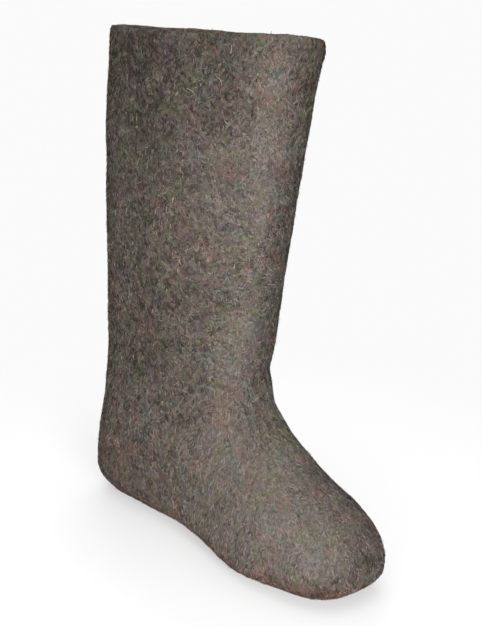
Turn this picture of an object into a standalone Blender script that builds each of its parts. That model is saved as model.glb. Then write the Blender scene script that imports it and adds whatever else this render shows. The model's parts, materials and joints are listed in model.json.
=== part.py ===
"""Felt winter boot of the valenki kind, for either foot.

The boot is felted in one piece: shaft, vamp, counter and sole are one hollow wall of wool.
It is lofted from sections that lie level in the shaft and swing upright into the foot, around
the bend of the ankle. A loose felt insole lies on the floor inside.
Lengths are in metres, +X points to the toe, +Y to the boot's left side and +Z up.
"""
import math

import bmesh
import bpy
import numpy as np
from mathutils import Vector
from mathutils.bvhtree import BVHTree

# Driving dimensions, all measured on the outside of the felt
FOOT_LENGTH = 0.282
BOOT_HEIGHT = 0.380
INSTEP_HEIGHT = 0.118
BALL_WIDTH = 0.100
COLLAR_WIDTH = 0.123

# Thickness of the felt
SHAFT_WALL = 0.0065
ANKLE_WALL = 0.0075
VAMP_WALL = 0.0085
HEEL_WALL = 0.0100
SOLE_WALL = 0.0115
RIM_CROWN = 0.0025

# The insole, a loose plate of felt
INSOLE_THICKNESS = 0.004
INSOLE_GAP = 0.0004
INSOLE_SIDE_GAP = 0.0010
INSOLE_EDGE_RISE = 0.0055
INSOLE_END_SHARE = 0.985

# Fineness of the loft and of the insole's grid
POINTS_AROUND = 44
TOE_STEPS = 8
RIM_STEPS = 4
INSOLE_SEGMENTS = (26, 10)
SHARP_ANGLE = math.radians(40)

# Each section is an oval between a front point and a back point. In the foot these become
# its top point and its bottom point. "x" is a share of the foot's length, from the back of
# the heel. "z" is a share of the boot's height in the shaft, and of the instep's height in
# the foot. "half" is a share of the collar's or of the ball's width. "spread" makes the
# bottom wider than the top, and "round" is the oval's exponent, 2 for an ellipse and more
# for a squarer one. "steps" is the number of rings from this section to the next.
SHAFT_ROWS = (
    # name, front x, front z, back x, back z, half, front round, back round, wall, steps
    ("collar", 0.698, 1.000, 0.036, 1.000, 0.500, 2.1, 2.1, SHAFT_WALL, 2),
    ("below_collar", 0.671, 0.930, 0.033, 0.930, 0.497, 2.1, 2.1, SHAFT_WALL, 2),
    ("calf", 0.648, 0.816, 0.029, 0.816, 0.488, 2.1, 2.1, SHAFT_WALL, 3),
    ("mid_shaft", 0.612, 0.618, 0.028, 0.618, 0.458, 2.1, 2.1, SHAFT_WALL, 3),
    ("low_shaft", 0.592, 0.453, 0.022, 0.434, 0.415, 2.1, 2.1, ANKLE_WALL, 3),
    ("ankle", 0.584, 0.374, 0.010, 0.284, 0.392, 2.1, 2.1, ANKLE_WALL, 3),
)
FOOT_ROWS = (
    # name, top x, top z, bottom x, bottom z, half, spread, top round, bottom round, base, steps
    ("counter", 0.589, 1.105, 0.002, 0.460, 0.490, 0.02, 2.1, 2.4, HEEL_WALL, 5),
    ("heel_back", 0.597, 1.050, 0.012, 0.085, 0.480, 0.05, 2.1, 2.8, HEEL_WALL, 5),
    ("heel_seat", 0.608, 0.998, 0.142, -0.012, 0.446, 0.08, 2.1, 3.0, SOLE_WALL, 4),
    ("heel_front", 0.632, 0.938, 0.298, -0.012, 0.408, 0.12, 2.1, 3.0, SOLE_WALL, 3),
    ("waist", 0.672, 0.845, 0.464, 0.012, 0.420, 0.14, 2.0, 3.2, SOLE_WALL, 3),
    ("joint", 0.730, 0.732, 0.610, -0.010, 0.470, 0.16, 2.0, 3.6, SOLE_WALL, 3),
    ("ball", 0.794, 0.620, 0.730, -0.012, 0.490, 0.15, 2.0, 3.4, SOLE_WALL, 3),
    ("toe_box", 0.871, 0.515, 0.848, 0.006, 0.445, 0.13, 2.1, 3.0, SOLE_WALL, 0),
)
TOE_TIP_HEIGHT = 0.021
TOE_FULLNESS = 0.69

FELT_COLOUR = (0.115, 0.098, 0.084, 1.0)
INSOLE_COLOUR = (0.190, 0.172, 0.150, 1.0)

# Columns of the working table: two end points, width and spread, exponents, walls and steps
TOP_X, TOP_Z, BASE_X, BASE_Z, HALF, SPREAD = range(6)
TOP_ROUND, BASE_ROUND, WALL, BASE_WALL, STEPS = range(6, 11)


def clear_scene():
    for obj in list(bpy.data.objects):
        bpy.data.objects.remove(obj, do_unlink=True)


def felt_material(name, colour):
    material = bpy.data.materials.new(name)
    material.use_nodes = True
    shader = material.node_tree.nodes["Principled BSDF"]
    shader.inputs["Base Color"].default_value = colour
    shader.inputs["Roughness"].default_value = 0.95
    shader.inputs["Metallic"].default_value = 0.0
    return material


def section_table():
    """All rows in metres, from the collar to the toe box."""
    rows = []
    for _, fx, fz, bx, bz, half, fr, br, wall, steps in SHAFT_ROWS:
        ends = (fx * FOOT_LENGTH, fz * BOOT_HEIGHT, bx * FOOT_LENGTH, bz * BOOT_HEIGHT)
        rows.append((*ends, half * COLLAR_WIDTH, 0.0, fr, br, wall, wall, steps))
    for _, tx, tz, bx, bz, half, spread, tr, br, base, steps in FOOT_ROWS:
        ends = (tx * FOOT_LENGTH, tz * INSTEP_HEIGHT, bx * FOOT_LENGTH, bz * INSTEP_HEIGHT)
        if base == SOLE_WALL:
            # The sole's thickness is upright, over the floor, and the section leans
            lean = math.hypot(ends[0] - ends[2], ends[1] - ends[3]) / (ends[1] - ends[3])
            base = (SOLE_WALL - min(ends[3], 0.0)) * lean
        rows.append((*ends, half * BALL_WIDTH, spread, tr, br, VAMP_WALL, base, steps))
    return np.array(rows)


def smooth_rows(table):
    """Rows on a Catmull-Rom curve through the table."""
    before = 2 * table[0] - table[1]
    after = 2 * table[-1] - table[-2]
    padded = np.vstack([before, table, after])
    rows = []
    for gap in range(len(table) - 1):
        a, b, c, d = padded[gap : gap + 4]
        steps = int(b[STEPS])
        for step in range(steps):
            t = step / steps
            slope = (c - a) * t + (2 * a - 5 * b + 4 * c - d) * t**2
            rows.append(b + 0.5 * (slope + (3 * b - a - 3 * c + d) * t**3))
    rows.append(table[-1])
    return rows


def inset_row(row, share=1.0):
    """The same section moved in by its walls, or by a share of them."""
    inner = row.copy()
    along = np.array([row[TOP_X] - row[BASE_X], row[TOP_Z] - row[BASE_Z]])
    along /= np.linalg.norm(along)
    inner[[TOP_X, TOP_Z]] -= along * row[WALL] * share
    inner[[BASE_X, BASE_Z]] += along * row[BASE_WALL] * share
    inner[HALF] -= row[WALL] * share
    return inner


def ring(row, lowest=None):
    """Points of one section, from its top or front point round by the left side."""
    top = np.array([row[TOP_X], row[TOP_Z]])
    base = np.array([row[BASE_X], row[BASE_Z]])
    middle = (top + base) / 2
    reach = (top - base) / 2
    points = []
    for index in range(POINTS_AROUND):
        angle = 2 * math.pi * index / POINTS_AROUND
        up, side = math.cos(angle), math.sin(angle)
        power = 2 / (row[TOP_ROUND] if up >= 0 else row[BASE_ROUND])
        x, z = middle + reach * math.copysign(abs(up) ** power, up)
        y = math.copysign(abs(side) ** power, side) * row[HALF] * (1 - row[SPREAD] * up)
        points.append(Vector((x, y, z if lowest is None else max(z, lowest))))
    return points


def toe_cap(before, last, tip_x, tip_z):
    """Sections that close the toe: each edge of the last section curves on to the tip.

    An edge leaves in the direction that it has there, and arrives upright at the tip. The
    fullness is the share of the way to the corner that each end of the curve is pulled.
    """

    def curve(start, slope_from, end_height, share):
        run = tip_x - start[0]
        slope = (start[1] - slope_from[1]) / (start[0] - slope_from[0])
        corner = np.array([tip_x, start[1] + slope * run])
        end = np.array([tip_x, end_height])
        leave = start + (corner - start) * TOE_FULLNESS
        arrive = end + (corner - end) * TOE_FULLNESS
        left = 1 - share
        ends = left**3 * start + share**3 * end
        return ends + 3 * left * share * (left * leave + share * arrive)

    def middle_x(row):
        return (row[TOP_X] + row[BASE_X]) / 2

    rows = []
    for step in range(1, TOE_STEPS):
        share = step / TOE_STEPS
        row = last.copy()
        for pair in ([TOP_X, TOP_Z], [BASE_X, BASE_Z]):
            row[pair] = curve(last[pair], before[pair], tip_z, share)
        widest = np.array([middle_x(last), last[HALF]])
        row[HALF] = curve(widest, (middle_x(before), before[HALF]), 0.0, share)[1]
        rows.append(row)
    return rows, Vector((tip_x, 0.0, tip_z))


def upper_rings():
    """Rings from the outer toe tip up to the rim, over it and down inside to the inner tip."""
    rows = smooth_rows(section_table())
    rim_height = BOOT_HEIGHT - RIM_CROWN
    rows[0][[TOP_Z, BASE_Z]] = rim_height
    cap, outer_tip = toe_cap(rows[-2], rows[-1], FOOT_LENGTH, TOE_TIP_HEIGHT)
    outer = [ring(row, lowest=0.0) for row in rows + cap]
    inner_rows = [inset_row(row) for row in rows]
    inner_tip_x = FOOT_LENGTH - HEEL_WALL
    inner_cap, inner_tip = toe_cap(inner_rows[-2], inner_rows[-1], inner_tip_x, TOE_TIP_HEIGHT)
    inner = [ring(row) for row in inner_rows + inner_cap]
    rim = []
    for step in range(1, RIM_STEPS):
        angle = math.pi * step / RIM_STEPS
        row = inset_row(rows[0], (1 - math.cos(angle)) / 2)
        row[[TOP_Z, BASE_Z]] = rim_height + RIM_CROWN * math.sin(angle)
        rim.append(ring(row))
    return outer_tip, outer[::-1] + rim + inner, inner_tip


def lofted_mesh(name, first_tip, rings, last_tip):
    """One closed body through the rings, ended by a point on each side."""
    bm = bmesh.new()
    loops = [[bm.verts.new(point) for point in points] for points in rings]
    count = len(loops[0])
    for here, there in zip(loops, loops[1:]):
        for index in range(count):
            after = (index + 1) % count
            bm.faces.new((here[index], here[after], there[after], there[index]))
    for tip, loop in ((first_tip, loops[0]), (last_tip, loops[-1])):
        point = bm.verts.new(tip)
        for index in range(count):
            bm.faces.new((point, loop[index], loop[(index + 1) % count]))
    bmesh.ops.recalc_face_normals(bm, faces=bm.faces)
    mesh = bpy.data.meshes.new(name)
    bm.to_mesh(mesh)
    bm.free()
    return mesh


def add_node(name, mesh, material, collection):
    mesh.materials.append(material)
    mesh.shade_smooth()
    mesh.set_sharp_from_angle(angle=SHARP_ANGLE)
    obj = bpy.data.objects.new(name, mesh)
    collection.objects.link(obj)
    return obj


def build_upper(collection):
    first_tip, rings, last_tip = upper_rings()
    mesh = lofted_mesh("felt_upper", first_tip, rings, last_tip)
    xs = [vertex.co.x for vertex in mesh.vertices]
    centre = Vector(((min(xs) + max(xs)) / 2, 0.0, 0.0))
    for vertex in mesh.vertices:
        vertex.co -= centre
    material = felt_material("grey_brown_felt", FELT_COLOUR)
    return add_node("felt_upper", mesh, material, collection)


def build_insole(upper, collection):
    """A plate as wide as the floor of the foot, laid on it and thickened upwards."""
    tree = BVHTree.FromObject(upper, bpy.context.evaluated_depsgraph_get())

    def hit(start, direction):
        return tree.ray_cast(Vector(start), Vector(direction))[0]

    level = SOLE_WALL + INSOLE_EDGE_RISE
    heel = hit((0.0, 0.0, level), (-1, 0, 0)).x + INSOLE_SIDE_GAP
    toe = hit((0.0, 0.0, level), (1, 0, 0)).x - INSOLE_SIDE_GAP
    bm = bmesh.new()
    along_count, across_count = INSOLE_SEGMENTS
    bmesh.ops.create_grid(bm, x_segments=along_count, y_segments=across_count, size=1.0)
    for vertex in bm.verts:
        along, across = vertex.co.x, vertex.co.y
        # Rows stand closer together at the ends, where the plate is rounded
        share = math.sin(along * math.pi / 2) * INSOLE_END_SHARE
        x = (heel + toe) / 2 + share * (toe - heel) / 2
        side = hit((x, 0.0, level), (0, 1, 0)).y - INSOLE_SIDE_GAP
        y = side * across
        floor = hit((x, y, level), (0, 0, -1)).z
        vertex.co = Vector((x, y, floor + INSOLE_GAP))
    mesh = bpy.data.meshes.new("felt_insole")
    bm.to_mesh(mesh)
    bm.free()
    material = felt_material("pale_insole_felt", INSOLE_COLOUR)
    insole = add_node("felt_insole", mesh, material, collection)
    wall = insole.modifiers.new("thickness", "SOLIDIFY")
    wall.thickness = INSOLE_THICKNESS
    wall.offset = 1.0
    return insole


def main():
    clear_scene()
    collection = bpy.data.collections.new("valenki_felt_boot")
    bpy.context.scene.collection.children.link(collection)
    upper = build_upper(collection)
    bpy.context.view_layer.update()
    build_insole(upper, collection)


main()
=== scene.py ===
import itertools
import json
import math

import bmesh
import bpy
import numpy as np
from mathutils import Matrix, Vector
from mathutils.bvhtree import BVHTree

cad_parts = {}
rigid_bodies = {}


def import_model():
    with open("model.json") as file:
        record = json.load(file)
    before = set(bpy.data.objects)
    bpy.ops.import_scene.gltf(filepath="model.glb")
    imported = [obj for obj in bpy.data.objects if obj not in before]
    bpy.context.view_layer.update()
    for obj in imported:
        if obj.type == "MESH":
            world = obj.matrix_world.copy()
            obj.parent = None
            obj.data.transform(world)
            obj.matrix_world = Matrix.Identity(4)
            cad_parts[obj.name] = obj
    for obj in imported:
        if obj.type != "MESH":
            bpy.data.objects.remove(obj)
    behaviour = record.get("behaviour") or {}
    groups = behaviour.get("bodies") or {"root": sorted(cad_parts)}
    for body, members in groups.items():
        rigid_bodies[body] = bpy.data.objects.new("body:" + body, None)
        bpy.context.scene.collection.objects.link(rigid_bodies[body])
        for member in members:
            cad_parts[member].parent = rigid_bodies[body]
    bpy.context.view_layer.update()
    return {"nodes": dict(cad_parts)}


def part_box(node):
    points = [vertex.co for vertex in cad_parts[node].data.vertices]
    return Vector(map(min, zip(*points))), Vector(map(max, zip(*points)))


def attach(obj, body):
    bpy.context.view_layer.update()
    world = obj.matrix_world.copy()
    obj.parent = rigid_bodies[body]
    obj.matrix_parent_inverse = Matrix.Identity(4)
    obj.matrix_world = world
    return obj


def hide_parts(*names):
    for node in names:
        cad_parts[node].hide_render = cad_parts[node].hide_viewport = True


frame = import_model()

scene = bpy.context.scene
print("frame loaded:", sorted(frame["nodes"]))

# Camera at the picture's angle, about level with the collar. It stands where the picture's
# camera stood, and is turned from "pictureAim" to "aim", so that the boot is in the middle.
cameraSetup = {
    "place": (0.5371, -0.5141, 0.3893),
    "aim": (0.0024, 0.0, 0.1792),
    "pictureAim": (0.0446, 0.0, 0.2022),
    "roll": 2.67,
    "lens": 59.76,
    "longSide": 36.0,
    "clip": (0.02, 60.0),
    "pictureSize": (482, 626),
}


def cameraMatrix(setup, aim):
    place = Vector(setup["place"])
    turn = (Vector(aim) - place).to_track_quat("-Z", "Y").to_matrix().to_4x4()
    roll = Matrix.Rotation(math.radians(setup["roll"]), 4, "Z")
    return Matrix.Translation(place) @ turn @ roll


def makeCamera(setup):
    data = bpy.data.cameras.new("camera")
    data.lens = setup["lens"]
    data.sensor_width = setup["longSide"]
    data.clip_start, data.clip_end = setup["clip"]
    camera = bpy.data.objects.new("camera", data)
    scene.collection.objects.link(camera)
    camera.matrix_world = cameraMatrix(setup, setup["aim"])
    scene.camera = camera


def pictureRay(pixel, setup):
    # the line of sight through one pixel of the picture: where it starts, and its way
    width, height = setup["pictureSize"]
    reach = setup["lens"] / setup["longSide"] * max(width, height)
    matrix = cameraMatrix(setup, setup["pictureAim"])
    way = matrix.to_3x3() @ Vector((pixel[0] - width / 2, height / 2 - pixel[1], -reach))
    return matrix.translation, way.normalized()


makeCamera(cameraSetup)
scene.view_settings.view_transform = "Standard"
print("camera placed")


# Shader maths: a Signal wraps one output socket, so that arithmetic on it adds Math nodes
class Signal:
    def __init__(self, socket):
        self.socket = socket
        self.tree = socket.id_data

    def math(self, operation, other, swapped=False):
        node = self.tree.nodes.new("ShaderNodeMath")
        node.operation = operation
        values = (other, self) if swapped else (self, other)
        for socket, value in zip(node.inputs, values):
            feed(socket, value)
        return Signal(node.outputs[0])

    def __add__(self, other):
        return self.math("ADD", other)

    __radd__ = __add__

    def __sub__(self, other):
        return self.math("SUBTRACT", other)

    def __rsub__(self, other):
        return self.math("SUBTRACT", other, swapped=True)

    def __mul__(self, other):
        return self.math("MULTIPLY", other)

    __rmul__ = __mul__


def feed(socket, value):
    if isinstance(value, Signal):
        socket.id_data.links.new(value.socket, socket)
    else:
        socket.default_value = value


# Every other node comes from "node": its type, its settings, then its sockets' values or links
class Nodes:
    def __init__(self, tree):
        self.tree = tree

    def node(self, kind, settings=None, sockets=None, output=0):
        made = self.tree.nodes.new("ShaderNode" + kind)
        for name, value in (settings or {}).items():
            if name == "stops":
                setStops(made.color_ramp, value)
            else:
                setattr(made, name, value)
        for name, value in (sockets or {}).items():
            feed(made.inputs[name], value)
        return Signal(made.outputs[output])

    def place(self):
        return self.node("TexCoord", output="Object")

    def attribute(self, name):
        return self.node("Attribute", {"attribute_name": name}, output="Fac")

    def noise(self, where, size, detail=2.0, roughness=0.5, distortion=0.0):
        return self.node("TexNoise", None, {
            "Vector": where, "Scale": 1 / size, "Detail": detail, "Roughness": roughness,
            "Distortion": distortion}, output="Fac")

    def stretch(self, where, scale, turn=(0.0, 0.0, 0.0)):
        return self.node("Mapping", None, {"Vector": where, "Scale": scale, "Rotation": turn})

    def step(self, value, low, high):
        return self.node("MapRange", {"interpolation_type": "SMOOTHSTEP"},
                         {"Value": value, "From Min": low, "From Max": high})

    def ramp(self, value, stops):
        return self.node("ValToRGB", {"stops": stops}, {"Fac": value})

    def blend(self, share, first, second):
        # the colour sockets of a Mix node are its numbers 6 and 7, and its colour result is 2
        return self.node("Mix", {"data_type": "RGBA"}, {0: share, 6: first, 7: second}, output=2)

    def bump(self, height, depth, strength, under=None):
        sockets = {"Height": height, "Distance": depth, "Strength": strength}
        if under is not None:
            sockets["Normal"] = under
        return self.node("Bump", None, sockets)


# A finish is a material with one Principled shader
class Finish(Nodes):
    def __init__(self, name, **constants):
        self.material = bpy.data.materials.new(name)
        self.material.use_nodes = True
        super().__init__(self.material.node_tree)
        self.shader = self.tree.nodes["Principled BSDF"]
        self.set(**constants)

    def set(self, **values):
        for name, value in values.items():
            feed(self.shader.inputs[name.replace("_", " ")], value)


def setStops(ramp, stops):
    while len(ramp.elements) < len(stops):
        ramp.elements.new(0.5)
    for element, (position, colour) in zip(ramp.elements, stops):
        element.position = position
        element.color = (*colour, 1.0)


# Wool colours: a tint is shares of linear red, green and blue, and a tone is how light it is
woolTints = {
    "grey": (1.00, 0.848, 0.728),
    "russet": (1.24, 0.780, 0.660),
    "olive": (0.93, 0.945, 0.560),
    "mauve": (1.07, 0.790, 0.850),
    "slate": (0.87, 0.895, 0.860),
    "rust": (1.41, 0.730, 0.555),
}
woolTones = {"deep": 0.024, "dark": 0.062, "middle": 0.115, "light": 0.190, "pale": 0.290,
             "cream": 0.420}

# How far each tone's tint is drawn to grey: the lighter the wool, the weaker its colour
woolGreying = {"deep": 0.0, "dark": 0.0, "middle": 0.15, "light": 0.40, "pale": 0.55, "cream": 0.6}


def wool(tint, tone):
    greying = woolGreying[tone]
    shares = zip(woolTints[tint], woolTints["grey"])
    return tuple((own + (grey - own) * greying) * woolTones[tone] for own, grey in shares)


# The soft noise repeats after "latticeCells" cells. Each use of it has its own seed or row of
# seeds, and "finerSeeds" is added to those of the tints and tones for their finer patches.
latticeCells = 32
noiseSeeds = {"lumps": 10, "rim": 32, "swirls": 51, "pale": 61, "soil": 63, "crease": 91,
              "fold": 95, "tints": 200, "tones": 300}
finerSeeds = 40


def soft(value, low, high):
    # 0 up to "low", 1 from "high" on, and a smooth rise between them
    share = np.clip((value - low) / (high - low), 0, 1)
    return share * share * (3 - 2 * share)


def softNoise(points, cell, seed):
    # smooth noise from -1 to 1: random values at the corners of a lattice of cubes, blended
    table = np.random.default_rng(seed).uniform(-1, 1, (latticeCells,) * 3)
    spot = points / cell
    base = np.floor(spot).astype(int)
    part = soft(spot - base, 0, 1)
    total = np.zeros(len(points))
    for corner in itertools.product((0, 1), repeat=3):
        weight = np.prod(np.where(corner, part, 1 - part), axis=1)
        total += weight * table[tuple(((base + corner) % latticeCells).T)]
    return total


# Added to a length or an area, so that nothing is divided by zero
tinyLength = 1e-9
tinyArea = 1e-12


def unit(vectors):
    return vectors / (np.linalg.norm(vectors, axis=1)[:, None] + tinyLength)


def meshArrays(mesh):
    points = np.empty(len(mesh.vertices) * 3)
    normals = np.empty(len(mesh.vertices) * 3)
    mesh.vertices.foreach_get("co", points)
    mesh.vertex_normals.foreach_get("vector", normals)
    return points.reshape(-1, 3), normals.reshape(-1, 3)


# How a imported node's loose triangles are joined: the gap that is closed, and the bend and the
# skew, in degrees, up to which two triangles become a quad
joining = {"gap": 0.00001, "bend": 50, "skew": 60}


def smoothCopy(nodeName, pieceName, levels):
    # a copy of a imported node, its triangles joined to quads and rounded by subdivision
    bm = bmesh.new()
    bm.from_mesh(frame["nodes"][nodeName].data)
    bmesh.ops.remove_doubles(bm, verts=bm.verts, dist=joining["gap"])
    bmesh.ops.join_triangles(bm, faces=bm.faces,
                             angle_face_threshold=math.radians(joining["bend"]),
                             angle_shape_threshold=math.radians(joining["skew"]))
    bmesh.ops.recalc_face_normals(bm, faces=bm.faces)
    mesh = bpy.data.meshes.new(pieceName)
    bm.to_mesh(mesh)
    bm.free()
    mesh.materials.clear()
    piece = bpy.data.objects.new(pieceName, mesh)
    scene.collection.objects.link(piece)
    rounding = piece.modifiers.new("rounding", "SUBSURF")
    rounding.levels = levels
    rounding.render_levels = levels
    graph = bpy.context.evaluated_depsgraph_get()
    final = bpy.data.meshes.new_from_object(piece.evaluated_get(graph))
    piece.modifiers.clear()
    piece.data = final
    final.shade_smooth()
    return piece


# The boot's own measures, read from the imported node. "shaft" is how far along the boot the
# shaft's middle is, and "ankle" is how high the ankle is.
bootShares = {"shaft": 0.365, "ankle": 0.33}
upperLow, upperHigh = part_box("felt_upper")
heelX = upperLow.x
bootLength = upperHigh.x - upperLow.x
bootHeight = upperHigh.z


def alongBoot(share):
    # a place along the boot, from a share of its length: 0 is the heel and 1 the toe
    return heelX + bootLength * share


shaftX = alongBoot(bootShares["shaft"])
ankleHeight = bootHeight * bootShares["ankle"]

# A line inside the hollow, from the collar to the toes: what faces away from it is outside
spineShares = ((0.37, 1.00), (0.32, 0.60), (0.30, 0.36), (0.34, 0.22), (0.50, 0.13), (0.90, 0.07))
spine = np.array([(alongBoot(share), 0, rise * bootHeight) for share, rise in spineShares])


def outwardness(points, normals):
    # positive on the outer face of the felt, negative on the inner one
    best = np.full(len(points), np.inf)
    nearest = np.zeros_like(points)
    for start, end in zip(spine, spine[1:]):
        run = end - start
        share = np.clip(((points - start) @ run) / (run @ run), 0, 1)
        spot = start + share[:, None] * run
        distance = np.linalg.norm(points - spot, axis=1)
        closer = distance < best
        best[closer] = distance[closer]
        nearest[closer] = spot[closer]
    return (unit(points - nearest) * normals).sum(axis=1)


def roundShaft(points):
    # degrees round the shaft: 0 is the front, 90 the left side and -90 the right side
    return np.degrees(np.arctan2(points[:, 1], points[:, 0] - shaftX))


def overAnkle(points, low, high):
    # rises from 0 to 1 between two heights, given as shares of the ankle's height
    return soft(points[:, 2], ankleHeight * low, ankleHeight * high)


# The felted body. Its soft lumps from fulling, and those of its rim, each have the size of
# their cells and a depth. "facing" is where a face counts as an outer one, "innerShare" is
# how much of a crease shows inside, and the sole stays flat up to "floorPad".
bodyForm = {
    "levels": 2,
    "lumps": ((0.060, 0.0011), (0.026, 0.0006), (0.011, 0.00030), (0.0055, 0.00016)),
    "rimLumps": (0.012, 0.0004),
    "facing": (-0.1, 0.1),
    "innerShare": 0.35,
    "floorPad": 0.0045,
    "rimDepth": 0.030,
}

# The rim is cut by hand: degrees round the collar, and how far it stands over its mean level
rimLevels = (
    (-180, 0.0016), (-170, 0.0016), (-157, 0.0006), (-140, 0.0012), (-125, 0.0012), (-108, 0.0003),
    (-95, 0.0003), (-45, 0.0006), (-10, 0.0006), (8, -0.0002), (24, -0.0024), (42, -0.0012),
    (90, -0.0014), (135, -0.0008), (150, -0.0003), (165, 0.0), (174, 0.0010), (180, 0.0016),
)

# The front corner of the collar, on the left, is rounded: its top is drawn in, from "depth"
# below the rim, and in full at "over" above it
rimCorner = {"angle": 24, "reach": 34, "depth": 0.014, "over": 0.004, "pull": 0.0036}

# Each crease is a soft trough with a lower ridge beside it, across a place of the boot.
# "from" and "to" are its ends as shares of the length and height, and "side" says which
# faces it marks: 1 left, -1 right, 0 both.
creases = (
    {"from": (0.585, 0.372), "to": (0.470, 0.318), "side": 0, "depth": 0.0016, "width": 0.010},
    {"from": (0.600, 0.318), "to": (0.430, 0.232), "side": 0, "depth": 0.0012, "width": 0.011},
    {"from": (0.590, 0.440), "to": (0.420, 0.425), "side": -1, "depth": 0.0008, "width": 0.012},
    {"from": (0.060, 0.330), "to": (0.300, 0.290), "side": 0, "depth": 0.0010, "width": 0.013},
    {"from": (0.040, 0.230), "to": (0.220, 0.190), "side": -1, "depth": 0.0007, "width": 0.012},
    {"from": (0.760, 0.180), "to": (0.700, 0.090), "side": 0, "depth": 0.0009, "width": 0.012},
    {"from": (0.330, 0.980), "to": (0.300, 0.560), "side": -1, "depth": 0.0009, "width": 0.022},
    {"from": (0.480, 0.900), "to": (0.430, 0.470), "side": 1, "depth": 0.0010, "width": 0.024},
)

# What all creases share: they wander by a share of their width, fade at their ends and past
# the boot's middle, and have a ridge as a share of the trough, some widths away from it
creaseForm = {"cell": 0.03, "wander": 0.35, "start": (-0.15, 0.2), "end": (0.75, 1.15),
              "middle": (-0.004, 0.012), "ridge": 0.45, "ridgeAway": 1.7}


def creaseDepth(points, crease):
    start, end = (np.array((alongBoot(x), z * bootHeight)) for x, z in
                  (crease["from"], crease["to"]))
    run = end - start
    offset = points[:, [0, 2]] - start
    share = (offset @ run) / (run @ run)
    across = (offset @ np.array((-run[1], run[0]))) / np.linalg.norm(run)
    wander = crease["width"] * creaseForm["wander"]
    across = across + softNoise(points, creaseForm["cell"], noiseSeeds["crease"]) * wander
    inside = soft(share, *creaseForm["start"]) * (1 - soft(share, *creaseForm["end"]))
    if crease["side"]:
        inside = inside * soft(points[:, 1] * crease["side"], *creaseForm["middle"])
    spot = across / crease["width"]
    trough = np.exp(-spot**2)
    ridge = creaseForm["ridge"] * np.exp(-((spot - creaseForm["ridgeAway"]) ** 2))
    return (ridge - trough) * inside * crease["depth"]


# The shaft was once folded flat, which left a soft edge down the right of its front. It
# starts "angle" degrees round at the top, and turns "lean" degrees a metre on the way down.
# It rises over the heights of "bottom", and loses "topLoss" of itself over those of "top".
foldEdge = {"angle": -7, "lean": 42, "width": 0.013, "rise": 0.0012, "cell": 0.05,
            "wander": 0.006, "bottom": (0.11, 0.14), "top": (0.35, 0.37), "topLoss": 0.6}


def onFoldEdge(points):
    angle = foldEdge["angle"] - foldEdge["lean"] * (bootHeight - points[:, 2])
    reach = np.hypot(points[:, 0] - shaftX, points[:, 1])
    across = np.radians(roundShaft(points) - angle) * reach
    across += softNoise(points, foldEdge["cell"], noiseSeeds["fold"]) * foldEdge["wander"]
    ends = soft(points[:, 2], *foldEdge["bottom"])
    ends *= 1 - foldEdge["topLoss"] * soft(points[:, 2], *foldEdge["top"])
    return np.exp(-((across / foldEdge["width"]) ** 2)) * ends


def cutRim(points):
    # brings the rim to its hand-cut level, and draws in its front corner
    turn = roundShaft(points)
    angles, levels = zip(*rimLevels)
    cell, depth = bodyForm["rimLumps"]
    level = np.interp(turn, angles, levels)
    level += softNoise(points * (1, 1, 0), cell, noiseSeeds["rim"]) * depth
    level *= soft(points[:, 2], bootHeight - bodyForm["rimDepth"], bootHeight)
    corner = np.exp(-(((turn - rimCorner["angle"]) / rimCorner["reach"]) ** 2))
    corner *= soft(points[:, 2], bootHeight - rimCorner["depth"], bootHeight + rimCorner["over"])
    out = unit(points[:, :2] - (shaftX, 0))
    points[:, :2] -= out * (corner * rimCorner["pull"])[:, None]
    points[:, 2] = np.maximum(points[:, 2] + level, 0)


def sculptBody(piece):
    points, normals = meshArrays(piece.data)
    inner = bodyForm["innerShare"]
    outside = soft(outwardness(points, normals), *bodyForm["facing"])
    move = onFoldEdge(points) * foldEdge["rise"]
    for seed, (cell, depth) in enumerate(bodyForm["lumps"], noiseSeeds["lumps"]):
        move += softNoise(points, cell, seed) * depth
    for crease in creases:
        move += creaseDepth(points, crease) * (inner + (1 - inner) * outside)
    move *= soft(points[:, 2], 0.0, bodyForm["floorPad"])
    points += normals * move[:, None]
    cutRim(points)
    piece.data.vertices.foreach_set("co", points.ravel())
    piece.data.update()


body = smoothCopy("felt_upper", "felt_body", bodyForm["levels"])
sculptBody(body)
bodyTree = BVHTree.FromPolygons([vertex.co for vertex in body.data.vertices],
                                [face.vertices for face in body.data.polygons])
print("felt body:", len(body.data.polygons), "faces")


def onBody(pixel):
    # the spot of the felt that one pixel of the picture shows, and the normal there
    spot, normal, _, _ = bodyTree.ray_cast(*pictureRay(pixel, cameraSetup))
    return spot, normal


# Wear and painted light: how much paler, or darker below zero, each makes the wool, and the
# stretches over which it grows or fades. "fold" is a painted highlight along the fold edge,
# "foot" is partly wear and partly painted light, "collar" is darker towards the rim, and
# "edge" is painted shade along the bottom of the felt. The foot's "back" is in shares of the
# boot's length, its "ankle" in shares of the ankle's height, and the collar's "depth" goes
# down from the rim.
wearAndPaintedLight = {
    "fold": {"pale": 0.95},
    "foot": {"pale": 1.10, "back": (0.30, 0.62), "toe": (0.116, 0.142), "sole": (0.006, 0.030),
             "ankle": (0.75, 1.3), "left": (0.0, 0.036), "leftLoss": 1.5},
    "collar": {"pale": -0.30, "depth": (0.088, 0.020)},
    "edge": {"pale": -0.8, "height": (0.003, 0.015)},
}

# Clouds of paler and darker wool: the size of each, and how strong it is
paleClouds = ((0.040, 0.16), (0.016, 0.22))
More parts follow.
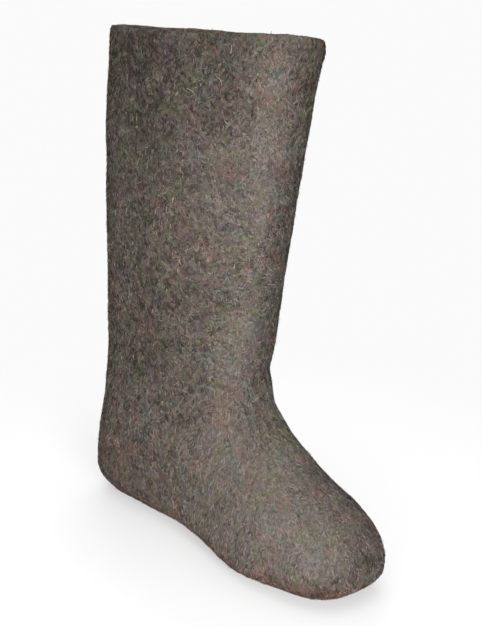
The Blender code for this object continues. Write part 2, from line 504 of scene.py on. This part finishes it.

# Patches that the picture shows, partly the felt's own mottling and partly painted light and
# shade: the bright ridge and the bright top of the foot are painted highlights, and the dark
# patches beside the ankle and the instep are painted shade. Each has the pixel of the middle,
# the radius, and how pale it is
mottlesAndPaintedLight = (
    # the collar and the upper shaft
    {"pixel": (190, 95), "radius": 0.022, "pale": -0.55},
    {"pixel": (88, 66), "radius": 0.016, "pale": -0.45},
    {"pixel": (106, 137), "radius": 0.024, "pale": -0.35},
    {"pixel": (224, 84), "radius": 0.019, "pale": 0.85},
    {"pixel": (206, 126), "radius": 0.018, "pale": 0.45},
    {"pixel": (240, 148), "radius": 0.018, "pale": 0.40},
    {"pixel": (86, 174), "radius": 0.013, "pale": -0.30},
    # the middle and the lower shaft
    {"pixel": (192, 226), "radius": 0.026, "pale": 0.55},
    {"pixel": (200, 172), "radius": 0.022, "pale": 0.35},
    {"pixel": (120, 205), "radius": 0.024, "pale": 0.25},
    {"pixel": (150, 268), "radius": 0.018, "pale": 0.40},
    {"pixel": (182, 342), "radius": 0.016, "pale": 0.30},
    {"pixel": (104, 325), "radius": 0.028, "pale": -0.50},
    {"pixel": (108, 380), "radius": 0.026, "pale": -0.40},
    # the ankle
    {"pixel": (150, 424), "radius": 0.022, "pale": -0.75},
    {"pixel": (222, 441), "radius": 0.016, "pale": -0.80},
    {"pixel": (222, 390), "radius": 0.022, "pale": -0.45},
    {"pixel": (194, 474), "radius": 0.018, "pale": 0.40},
    # the foot
    {"pixel": (228, 508), "radius": 0.026, "pale": 1.00},
    {"pixel": (180, 506), "radius": 0.020, "pale": 0.45},
    {"pixel": (238, 548), "radius": 0.020, "pale": 0.50},
    {"pixel": (284, 562), "radius": 0.018, "pale": 0.60},
    {"pixel": (295, 584), "radius": 0.020, "pale": 0.60},
    {"pixel": (264, 480), "radius": 0.018, "pale": -0.55},
    {"pixel": (326, 577), "radius": 0.0032, "pale": -1.60},
    {"pixel": (284, 609), "radius": 0.014, "pale": -0.70},
)
for patch in mottlesAndPaintedLight:
    patch["spot"] = np.array(onBody(patch["pixel"])[0])

# Painted light and shade round the shaft, in tones that the picture shows: degrees round it,
# and how pale it is there. The painted light is at the back of the right side, and the painted
# shade is on the right side and on the front of the left side. They hold in full above the
# height given below.
shaftPaintedLight = (
    (-180, 0.0), (-150, 0.0), (-135, 0.15), (-112, 0.10), (-95, -0.15), (-75, 0.0), (-2, 0.0),
    (16, -0.40), (50, -0.30), (90, 0.0), (180, 0.0),
)
paintedLightFrom = 0.2

# Soil browns the wool: the sole's edge up to "height", give or take "wander", and the heel,
# whose soil fades over shares of the boot's length and over heights
soilForm = {"height": 0.031, "cell": 0.014, "wander": 0.006,
            "heel": 0.37, "heelBack": (0.20, 0.55), "heelHeight": (0.04, 0.10)}


def footWearAndPaintedLight(points):
    # the top and right of the foot, between the heel and the toes: partly worn, partly painted light
    x, y, z = points.T
    foot = wearAndPaintedLight["foot"]
    share = soft(x, *map(alongBoot, foot["back"])) * (1 - soft(x, *foot["toe"]))
    share *= soft(z, *foot["sole"]) * (1 - overAnkle(points, *foot["ankle"]))
    return share * (1 - foot["leftLoss"] * soft(y, *foot["left"]))


def paleOf(points):
    # how pale the wool is: random clouds, wear, and painted light and shade
    z = points[:, 2]
    deep, shallow = wearAndPaintedLight["collar"]["depth"]
    collar = soft(z, bootHeight - deep, bootHeight - shallow)
    # a painted highlight along the fold edge
    pale = onFoldEdge(points) * wearAndPaintedLight["fold"]["pale"]
    # the foot, partly worn and partly painted light, and the collar, darker towards the rim
    pale += footWearAndPaintedLight(points) * wearAndPaintedLight["foot"]["pale"] + collar * wearAndPaintedLight["collar"]["pale"]
    # painted shade along the bottom of the felt
    pale += (1 - soft(z, *wearAndPaintedLight["edge"]["height"])) * wearAndPaintedLight["edge"]["pale"]
    for seed, (cell, strength) in enumerate(paleClouds, noiseSeeds["pale"]):
        pale += softNoise(points, cell, seed) * strength
    turns, tones = zip(*shaftPaintedLight)
    # painted light and shade round the shaft
    pale += np.interp(roundShaft(points), turns, tones) * soft(z, ankleHeight, paintedLightFrom)
    # lighter and darker patches: mottling, and painted light and shade
    for patch in mottlesAndPaintedLight:
        away = np.linalg.norm(points - patch["spot"], axis=1) / patch["radius"]
        pale += np.exp(-(away**2)) * patch["pale"]
    return pale


def soilOf(points):
    wander = softNoise(points, soilForm["cell"], noiseSeeds["soil"]) * soilForm["wander"]
    height = points[:, 2] + wander
    heel = 1 - soft(points[:, 0], *map(alongBoot, soilForm["heelBack"]))
    heel *= 1 - soft(height, *soilForm["heelHeight"])
    edge = 1 - soft(height, 0.0, soilForm["height"])
    return np.maximum(edge, heel * soilForm["heel"])


def addAttribute(mesh, name, values):
    attribute = mesh.attributes.new(name, "FLOAT", "POINT")
    attribute.data.foreach_set("value", values.astype(np.float32))


bodyPoints, _ = meshArrays(body.data)
# the "pale" attribute carries painted light and shade as well as wear and clouds
addAttribute(body.data, "pale", paleOf(bodyPoints))
addAttribute(body.data, "soil", soilOf(bodyPoints))

# The felt itself: mottled wool, pressed fibres and a fine broken nap. Each noise has the size
# of its spots. The "tone" shares mix the noises into how light the wool is, and the "height"
# shares into its relief, and each bump has a depth and a strength.
bodyFelt = {
    "surface": {"Roughness": 0.95, "Specular_IOR_Level": 0.15},
    "clouds": {"size": 0.030, "detail": 3, "roughness": 0.55},
    "tufts": {"size": 0.0045, "detail": 3, "roughness": 0.6, "distortion": 0.4},
    "fibres": {"size": 0.0011, "detail": 3, "roughness": 0.65, "distortion": 0.6},
    "crossing": {"size": 0.0014, "detail": 2, "roughness": 0.6, "distortion": 0.8},
    "grains": {"size": 0.0006, "detail": 2, "roughness": 0.6},
    "upright": (1.0, 1.0, 0.30),
    "leaning": {"scale": (1.0, 0.45, 1.0), "turn": (0.0, 0.5, 0.0)},
    "tone": {"fibres": 0.55, "crossing": 0.35, "tufts": 0.45, "clouds": 0.20, "pale": 0.05},
    "toneShift": 0.275,
    "stops": ((0.36, "deep"), (0.46, "dark"), (0.56, "middle"), (0.68, "light")),
    "russetSize": 0.0075,
    "oliveSize": 0.0065,
    "oliveStretch": (1.3, 1.3, 0.9),
    "tintEdge": (0.50, 0.64),
    "tintShare": 0.6,
    "height": {"fibres": 0.5, "crossing": 0.3, "grains": 0.2},
    "tuftBump": (0.0016, 0.6),
    "fibreBump": (0.0010, 0.9),
}


def makeBodyFelt(look):
    felt = Finish("heathered_felt", **look["surface"])
    where = felt.place()
    clouds = felt.noise(where, **look["clouds"])
    tufts = felt.noise(where, **look["tufts"])
    fibres = felt.noise(felt.stretch(where, look["upright"]), **look["fibres"])
    crossing = felt.noise(felt.stretch(where, **look["leaning"]), **look["crossing"])
    grains = felt.noise(where, **look["grains"])
    part = look["tone"]
    tone = fibres * part["fibres"] + crossing * part["crossing"]
    tone = tone + tufts * part["tufts"] + clouds * part["clouds"]
    # the wool's tone takes a little of the painted light and shade in "pale"
    tone = tone - look["toneShift"] + felt.attribute("pale") * part["pale"]
    colour = felt.ramp(tone, [(spot, wool("grey", name)) for spot, name in look["stops"]])
    squat = felt.stretch(where, look["oliveStretch"])
    russet = felt.step(felt.noise(where, look["russetSize"]), *look["tintEdge"])
    olive = felt.step(felt.noise(squat, look["oliveSize"]), *look["tintEdge"])
    for tint, share in (("russet", russet), ("olive", olive), ("rust", felt.attribute("soil"))):
        colour = felt.blend(share * look["tintShare"], colour, (*wool(tint, "middle"), 1))
    part = look["height"]
    height = fibres * part["fibres"] + crossing * part["crossing"] + grains * part["grains"]
    coarse = felt.bump(tufts, *look["tuftBump"])
    felt.set(Base_Color=colour, Normal=felt.bump(height, *look["fibreBump"], under=coarse))
    return felt.material


body.data.materials.append(makeBodyFelt(bodyFelt))
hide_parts("felt_upper")
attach(body, "root")

# The insole: a pressed plate of paler felt that lies loose in the foot
insoleLook = {
    "levels": 2,
    "surface": {"Roughness": 0.95, "Specular_IOR_Level": 0.2},
    "alongFoot": (0.5, 1.0, 1.0),
    "fibres": {"size": 0.0016, "detail": 3, "roughness": 0.6},
    "clouds": {"size": 0.018, "detail": 3},
    "tone": {"fibres": 0.7, "clouds": 0.3},
    "stops": ((0.38, "grey", "middle"), (0.50, "grey", "light"), (0.64, "olive", "pale")),
    "bump": (0.0006, 0.7),
}
insole = smoothCopy("felt_insole", "insole", insoleLook["levels"])
print("insole:", len(insole.data.polygons), "faces")


def makeInsoleFelt(look):
    felt = Finish("pressed_insole_felt", **look["surface"])
    where = felt.place()
    fibres = felt.noise(felt.stretch(where, look["alongFoot"]), **look["fibres"])
    clouds = felt.noise(where, **look["clouds"])
    tone = fibres * look["tone"]["fibres"] + clouds * look["tone"]["clouds"]
    colour = felt.ramp(tone, [(spot, wool(tint, name)) for spot, tint, name in look["stops"]])
    felt.set(Base_Color=colour, Normal=felt.bump(fibres, *look["bump"]))
    return felt.material


insole.data.materials.append(makeInsoleFelt(insoleLook))
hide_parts("felt_insole")
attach(insole, "root")

# Fibres: each is a thin leaf of two faces that lies along the felt and lifts at its tip.
# Each layer's "tones" gives each tone's share, and "inTuft" fibres of one colour lie together
# within "open".
napLayers = (
    {"name": "nap_under", "seed": 1, "tufts": 16000, "inTuft": 4, "length": (0.0025, 0.0050),
     "width": 0.00044, "lift": (0.00005, 0.00030), "spread": 0.9, "open": 0.00050,
     "tones": {"deep": 3, "dark": 6, "middle": 4}},
    {"name": "nap_lower", "seed": 5, "tufts": 20000, "inTuft": 3, "length": (0.0025, 0.0050),
     "width": 0.00040, "lift": (0.00008, 0.00040), "spread": 0.9, "open": 0.00045,
     "tones": {"deep": 3, "dark": 5, "middle": 5, "light": 1}},
    {"name": "nap_middle", "seed": 2, "tufts": 21000, "inTuft": 3, "length": (0.0022, 0.0048),
     "width": 0.00038, "lift": (0.00010, 0.00050), "spread": 0.8, "open": 0.00040,
     "tones": {"deep": 2, "dark": 4, "middle": 5, "light": 3}},
    {"name": "nap_top", "seed": 3, "tufts": 32000, "inTuft": 2, "length": (0.0022, 0.0050),
     "width": 0.00032, "lift": (0.00015, 0.00070), "spread": 0.7, "open": 0.00035,
     "tones": {"deep": 3, "dark": 4, "middle": 5, "light": 5, "pale": 1}},
    {"name": "stray_hairs", "seed": 4, "tufts": 6000, "inTuft": 1, "length": (0.0040, 0.0080),
     "width": 0.00022, "lift": (0.00040, 0.00140), "spread": 1.0, "open": 0.0,
     "tones": {"dark": 3, "light": 4, "pale": 3}},
)
napTints = {"grey": 5.0, "russet": 2.6, "olive": 2.2, "mauve": 1.8, "slate": 1.3, "rust": 0.04}
napTones = ("deep", "dark", "middle", "light", "pale")

# What all fibres share. "fan", "tilt" and "bend" are spreads by chance, "widths" and
# "tipLifts" are ranges round the layer's own values, and no fibre goes below "floor".
fibreForm = {"fan": 0.20, "bend": 0.06, "tilt": 0.55, "overlap": 2.0, "sink": 0.00015,
             "widths": (0.7, 1.3), "tipLifts": (0.1, 2.0), "floor": 0.00005}
fibreSurface = {"Roughness": 0.7, "Specular_IOR_Level": 0.2}

# How much a pale place (from wear, or painted light and shade) favours each tone or tint, and
# how much soil favours them
paleFavour = {"deep": -2.0, "dark": -1.2, "middle": 0.0, "light": 1.3, "pale": 2.2,
              "slate": 0.7, "mauve": 0.3, "russet": -0.1}
soilFavour = {"rust": 11.0, "russet": 3.0, "dark": 0.6, "pale": -1.0}

# Patches of one tint or tone: their size, the share and size of finer patches in them, how
# strong they are, and how much chance there is from tuft to tuft
tintPatch = {"size": 0.0100, "fine": 0.6, "fineSize": 0.45, "strength": 3.2, "chance": 0.15}
tonePatch = {"size": 0.0060, "fine": 1.0, "fineSize": 0.45, "strength": 1.2, "chance": 0.75}


def fibreFinish(tint, tone):
    finish = Finish(f"wool_{tint}_{tone}", Base_Color=(*wool(tint, tone), 1), **fibreSurface)
    return finish.material


fibreShades = {shade: fibreFinish(*shade) for shade in itertools.product(napTints, napTones)}

# How dense the nap is on each part of the felt, and the stretches over which one part's nap
# passes into the next one's
napCover = {"outside": 1.0, "collarInside": 0.55, "inside": 0.10, "underside": 0.35,
            "facing": (-0.05, 0.10), "collarDepth": (0.03, 0.14), "downward": (0.75, 0.95),
            "height": (0.001, 0.006)}

# How short the nap is on the cut rim, and over which depths it gets short
rimNap = {"length": 0.40, "depth": (0.0045, 0.00135)}

# The way the nap lies: down the shaft, turned by the leans and swirls below. The leans start,
# and the foot's combed nap ends, over shares of the ankle's height.
napLie = {"way": (0.10, 0, -1), "leansFrom": (0.8, 1.3), "shaftFrom": (0.7, 1.2)}

# The nap's lean: degrees round the shaft, and the fibres' turn from upright there in degrees
napLeans = ((-180, 12), (-110, 20), (-60, 14), (-10, 2), (60, -6), (120, -12), (180, 12))
napSwirls = ((0.045, 0.50), (0.014, 0.38))  # the size of each swirl, and its turn in radians
combedFoot = {"way": (0.60, -0.55, 0), "flat": (0.30, 0.85), "spread": 0.75}

# Some tufts lie across: a share of them everywhere, and more in one zone of the shaft
crossNap = {"everywhere": 0.08, "zone": 0.35, "angle": -35, "reach": 40,
            "bottom": (0.11, 0.15), "top": (0.25, 0.30)}


def coverOf(points, normals):
    heights, cover = points[:, 2], napCover
    outside = soft(outwardness(points, normals), *cover["facing"])
    deep = soft(bootHeight - heights, *cover["collarDepth"])
    inner = cover["collarInside"] * (1 - deep) + cover["inside"] * deep
    under = soft(-normals[:, 2], *cover["downward"]) * (1 - soft(heights, *cover["height"]))
    under *= outside
    mixed = outside * cover["outside"] + (1 - outside) * inner
    return mixed * (1 - under) + under * cover["underside"]


def scatter(mesh, count, rng):
    # random spots on the felt, with the normal there
    mesh.calc_loop_triangles()
    corners = np.empty(len(mesh.loop_triangles) * 3, int)
    mesh.loop_triangles.foreach_get("vertices", corners)
    points, normals = meshArrays(mesh)
    corners = corners.reshape(-1, 3)
    a, b, c = (points[corners[:, k]] for k in range(3))
    cross = np.cross(b - a, c - a)
    area = np.linalg.norm(cross, axis=1)
    facing = cross / (area[:, None] + tinyArea)
    weight = area * coverOf((a + b + c) / 3, facing)
    picked = rng.choice(len(corners), count, p=weight / weight.sum())
    u, v = rng.random((2, count, 1))
    folded = u + v > 1
    u, v = np.where(folded, 1 - u, u), np.where(folded, 1 - v, v)
    spots = a[picked] + u * (b[picked] - a[picked]) + v * (c[picked] - a[picked])
    na, nb, nc = (normals[corners[picked, k]] for k in range(3))
    return spots, unit(na + u * (nb - na) + v * (nc - na))


def alongFelt(spots, normals, spread, rng):
    # fibres lie down the slope of the felt, in soft swirls
    lie = np.zeros_like(spots) + napLie["way"]
    lie += soft(normals[:, 2:], *combedFoot["flat"]) * combedFoot["way"]
    lie = unit(lie - normals * (lie * normals).sum(axis=1)[:, None])
    side = np.cross(normals, lie)
    turn = roundShaft(spots)
    turns, leans = zip(*napLeans)
    angle = np.radians(np.interp(turn, turns, leans)) * overAnkle(spots, *napLie["leansFrom"])
    for seed, (size, swing) in enumerate(napSwirls, noiseSeeds["swirls"]):
        angle += softNoise(spots, size, seed) * swing
    onShaft = overAnkle(spots, *napLie["shaftFrom"])
    angle += rng.normal(0, spread, len(spots)) * (combedFoot["spread"] * (1 - onShaft) + onShaft)
    away = (turn - crossNap["angle"]) / crossNap["reach"]
    height = soft(spots[:, 2], *crossNap["bottom"]) * (1 - soft(spots[:, 2], *crossNap["top"]))
    share = crossNap["everywhere"] + crossNap["zone"] * np.exp(-(away**2)) * height
    angle += (rng.random(len(spots)) < share) * math.pi / 2
    return lie * np.cos(angle)[:, None] + side * np.sin(angle)[:, None]


def pickOne(options, patch, seed, spots, pale, soil, rng):
    # one option for each spot: by its share, its own soft patches, the paleness with its wear and
    # painted light and shade, the soil and chance
    draw = []
    for index, (name, share) in enumerate(options.items()):
        clump = softNoise(spots, patch["size"], seed + index)
        fine = softNoise(spots, patch["size"] * patch["fineSize"], seed + finerSeeds + index)
        odds = math.log(share) + patch["strength"] * (clump + patch["fine"] * fine)
        odds += paleFavour.get(name, 0.0) * pale + soilFavour.get(name, 0.0) * soil
        draw.append(odds + rng.gumbel(0, patch["chance"], len(spots)))
    return np.stack(draw).argmax(axis=0)


def shadesOf(spots, tones, rng):
    # tints come in patches, and tones vary from tuft to tuft; both follow the paleness, painted
    # light and shade included, and the soil
    pale, soil = paleOf(spots), soilOf(spots)
    tint = pickOne(napTints, tintPatch, noiseSeeds["tints"], spots, pale, soil, rng)
    tone = pickOne(tones, tonePatch, noiseSeeds["tones"], spots, pale, soil, rng)
    return tint * len(tones) + tone


def onFelt(points):
    # the nearest spots of the felt, and the normals there
    found = [bodyTree.find_nearest(point) for point in points]
    return (np.array([spot for spot, _, _, _ in found]),
            np.array([normal for _, normal, _, _ in found]))


def fibreCorners(layer, spots, normals, along, rng):
    # the five corners of each fibre: two at its root, two at its middle and one at its tip
    each = (len(spots), 1)
    side = np.cross(normals, along)
    turn = rng.normal(0, fibreForm["fan"], each)
    spots = spots + side * rng.normal(0, layer["open"], each)
    spots = spots + along * rng.normal(0, layer["open"] * fibreForm["overlap"], each)
    along = along * np.cos(turn) + side * np.sin(turn)
    side = np.cross(normals, along)
    deep, shallow = rimNap["depth"]
    onRim = soft(spots[:, 2:], bootHeight - deep, bootHeight - shallow)
    shorter = 1 - onRim * (1 - rimNap["length"])
    length = rng.uniform(*layer["length"], each) * shorter
    lift = rng.uniform(*layer["lift"], each) * shorter
    tilt = rng.normal(0, fibreForm["tilt"], each)
    blade = side * np.cos(tilt) + normals * np.sin(tilt)
    half = blade * layer["width"] / 2 * rng.uniform(*fibreForm["widths"], each)
    bend = side * rng.normal(0, fibreForm["bend"], each) * length
    middle, middleNormals = onFelt(spots + along * length / 2 + bend)
    tip, tipNormals = onFelt(spots + along * length)
    root = spots - normals * fibreForm["sink"]
    middle = middle + middleNormals * lift
    tip = tip + tipNormals * lift * rng.uniform(*fibreForm["tipLifts"], each)
    corners = np.stack([root - half, root + half, middle + half, middle - half, tip], axis=1)
    corners[:, :, 2] = np.maximum(corners[:, :, 2], fibreForm["floor"])
    return corners


def addNapPiece(name, mesh):
    piece = bpy.data.objects.new(name, mesh)
    scene.collection.objects.link(piece)
    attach(piece, "root")


def layFibres(layer, ground):
    rng = np.random.default_rng(layer["seed"])
    spots, normals = scatter(ground, layer["tufts"], rng)
    along = alongFelt(spots, normals, layer["spread"], rng)
    shades = shadesOf(spots, layer["tones"], rng)
    spots, normals, along, shades = (np.repeat(values, layer["inTuft"], axis=0)
                                     for values in (spots, normals, along, shades))
    corners = fibreCorners(layer, spots, normals, along, rng)
    start = np.arange(len(corners))[:, None] * corners.shape[1]
    quads = (start + (0, 1, 2, 3)).tolist()
    tips = (start + (3, 2, 4)).tolist()
    mesh = bpy.data.meshes.new(layer["name"])
    mesh.from_pydata(corners.reshape(-1, 3).tolist(), [], quads + tips)
    for shade in itertools.product(napTints, layer["tones"]):
        mesh.materials.append(fibreShades[shade])
    mesh.polygons.foreach_set("material_index", np.concatenate([shades, shades]))
    mesh.shade_smooth()
    addNapPiece(layer["name"], mesh)
    print(layer["name"] + ":", len(corners), "fibres")


for layer in napLayers:
    layFibres(layer, body.data)


# The long pale hairs that the picture shows. Each has the pixel of its middle, its turn from
# upright in degrees, its length, and its bow as a share of that length.
paleHairs = (
    {"pixel": (186, 68), "turn": 4, "length": 0.0062, "bow": 0.12},
    {"pixel": (175, 100), "turn": -32, "length": 0.0070, "bow": 0.18},
    {"pixel": (147, 110), "turn": -62, "length": 0.0074, "bow": 0.10},
    {"pixel": (183, 140), "turn": -50, "length": 0.0045, "bow": -0.20},
    {"pixel": (88, 118), "turn": 68, "length": 0.0040, "bow": 0.10},
    {"pixel": (122, 71), "turn": -20, "length": 0.0042, "bow": -0.20},
    {"pixel": (237, 206), "turn": 20, "length": 0.0050, "bow": 0.15},
    {"pixel": (250, 120), "turn": 48, "length": 0.0050, "bow": 0.10},
    {"pixel": (206, 300), "turn": -75, "length": 0.0045, "bow": 0.20},
    {"pixel": (110, 330), "turn": 25, "length": 0.0048, "bow": 0.10},
    {"pixel": (76, 461), "turn": -6, "length": 0.0065, "bow": 0.10},
    {"pixel": (178, 452), "turn": 38, "length": 0.0050, "bow": 0.20},
    {"pixel": (194, 509), "turn": 12, "length": 0.0060, "bow": 0.15},
    {"pixel": (253, 541), "turn": -70, "length": 0.0050, "bow": 0.20},
    {"pixel": (283, 552), "turn": 35, "length": 0.0042, "bow": 0.10},
)

# Their width, their number of steps, how high they lie over the felt, and how blunt they end
paleHairForm = {"width": 0.00030, "steps": 6, "over": 0.0006, "blunt": 0.02}


def addPaleHair(bm, hair):
    # a narrow bowed strip that tapers to both ends
    spot, normal = onBody(hair["pixel"])
    up = Vector((0, 0, 1)) - normal * normal.z
    up.normalize()
    turn = math.radians(hair["turn"])
    along = up * math.cos(turn) + up.cross(normal) * math.sin(turn)
    side = along.cross(normal)
    spot = spot + normal * paleHairForm["over"]
    before = None
    for step in range(paleHairForm["steps"] + 1):
        share = 2 * step / paleHairForm["steps"] - 1
        bow = hair["bow"] * (1 - share**2)
        centre = spot + (along * share / 2 + side * bow) * hair["length"]
        taper = math.sqrt(max(1 - share**2, paleHairForm["blunt"]))
        half = side * paleHairForm["width"] / 2 * taper
        rung = bm.verts.new(centre - half), bm.verts.new(centre + half)
        if before:
            bm.faces.new((before[0], before[1], rung[1], rung[0]))
        before = rung


def makePaleHairs():
    bm = bmesh.new()
    for hair in paleHairs:
        addPaleHair(bm, hair)
    mesh = bpy.data.meshes.new("pale_hairs")
    bm.to_mesh(mesh)
    bm.free()
    mesh.materials.append(fibreFinish("grey", "cream"))
    addNapPiece("pale_hairs", mesh)


makePaleHairs()
print("pale hairs:", len(paleHairs))

# Stage: a wide pale floor that glows a little, and melts into the pale world beyond its
# "fade" radii. The world gives the boot less light than the camera sees in it.
stageSetup = {
    "floorRadius": 14.0,
    "floorSides": 96,
    "floorColour": (0.92, 0.92, 0.92),
    "floorSurface": {"Roughness": 0.85, "Specular_IOR_Level": 0.1},
    "fade": (0.16, 0.46),
    "glow": 0.50,
    "farColour": (0.96, 0.96, 0.96),
    "ambient": 0.14,
    "ambientColour": (0.97, 0.98, 1.0),
}

# Each light is a square panel: where it stands, what it points at, its size and its power
lights = (
    {"name": "key", "place": (1.90, -0.84, 0.68), "aim": (0, 0, 0.16), "size": 0.80, "power": 41.0},
    {"name": "front", "place": (0.42, -0.66, 0.36), "aim": (0, 0, 0.08), "size": 0.35, "power": 1.0},
    {"name": "top", "place": (0.2, -0.2, 2.4), "aim": (0, 0, 0), "size": 3.0, "power": 45.0},
    {"name": "bounce", "place": (0.02, -0.42, 0.07), "aim": (0, 0, 0.03), "size": 0.30, "power": 0.7},
    {"name": "back", "place": (-0.95, 0.90, 0.85), "aim": (0, 0, 0.16), "size": 1.2, "power": 13.0},
)


def makeFloor(setup):
    bm = bmesh.new()
    bmesh.ops.create_circle(bm, cap_ends=True, segments=setup["floorSides"],
                            radius=setup["floorRadius"])
    mesh = bpy.data.meshes.new("floor")
    bm.to_mesh(mesh)
    bm.free()
    floor = bpy.data.objects.new("floor", mesh)
    scene.collection.objects.link(floor)
    finish = Finish("pale_floor", Base_Color=(*setup["floorColour"], 1), **setup["floorSurface"])
    distance = finish.node("VectorMath", {"operation": "LENGTH"}, {"Vector": finish.place()},
                           output="Value")
    far = finish.node("Emission", None, {"Color": (*setup["farColour"], 1)})
    near = Signal(finish.shader.outputs[0])
    share = finish.step(distance, *setup["fade"]) * (1 - setup["glow"]) + setup["glow"]
    mixed = finish.node("MixShader", None, {0: share, 1: near, 2: far})
    feed(finish.tree.nodes["Material Output"].inputs["Surface"], mixed)
    mesh.materials.append(finish.material)


def makeWorld(setup):
    world = bpy.data.worlds.new("pale_world")
    scene.world = world
    world.use_nodes = True
    nodes = Nodes(world.node_tree)
    seen = nodes.node("Background", None, {"Color": (*setup["farColour"], 1)})
    given = nodes.node("Background", None, {
        "Color": (*setup["ambientColour"], 1), "Strength": setup["ambient"]})
    toCamera = nodes.node("LightPath", output="Is Camera Ray")
    mixed = nodes.node("MixShader", None, {0: toCamera, 1: given, 2: seen})
    feed(world.node_tree.nodes["World Output"].inputs["Surface"], mixed)


def makeLight(setup):
    data = bpy.data.lights.new(setup["name"], "AREA")
    data.shape = "SQUARE"
    data.size = setup["size"]
    data.energy = setup["power"]
    light = bpy.data.objects.new(setup["name"], data)
    scene.collection.objects.link(light)
    light.visible_camera = False
    light.location = setup["place"]
    turn = Vector(setup["aim"]) - Vector(setup["place"])
    light.rotation_euler = turn.to_track_quat("-Z", "Y").to_euler()


makeFloor(stageSetup)
makeWorld(stageSetup)
for setup in lights:
    makeLight(setup)
print("stage and lights set")
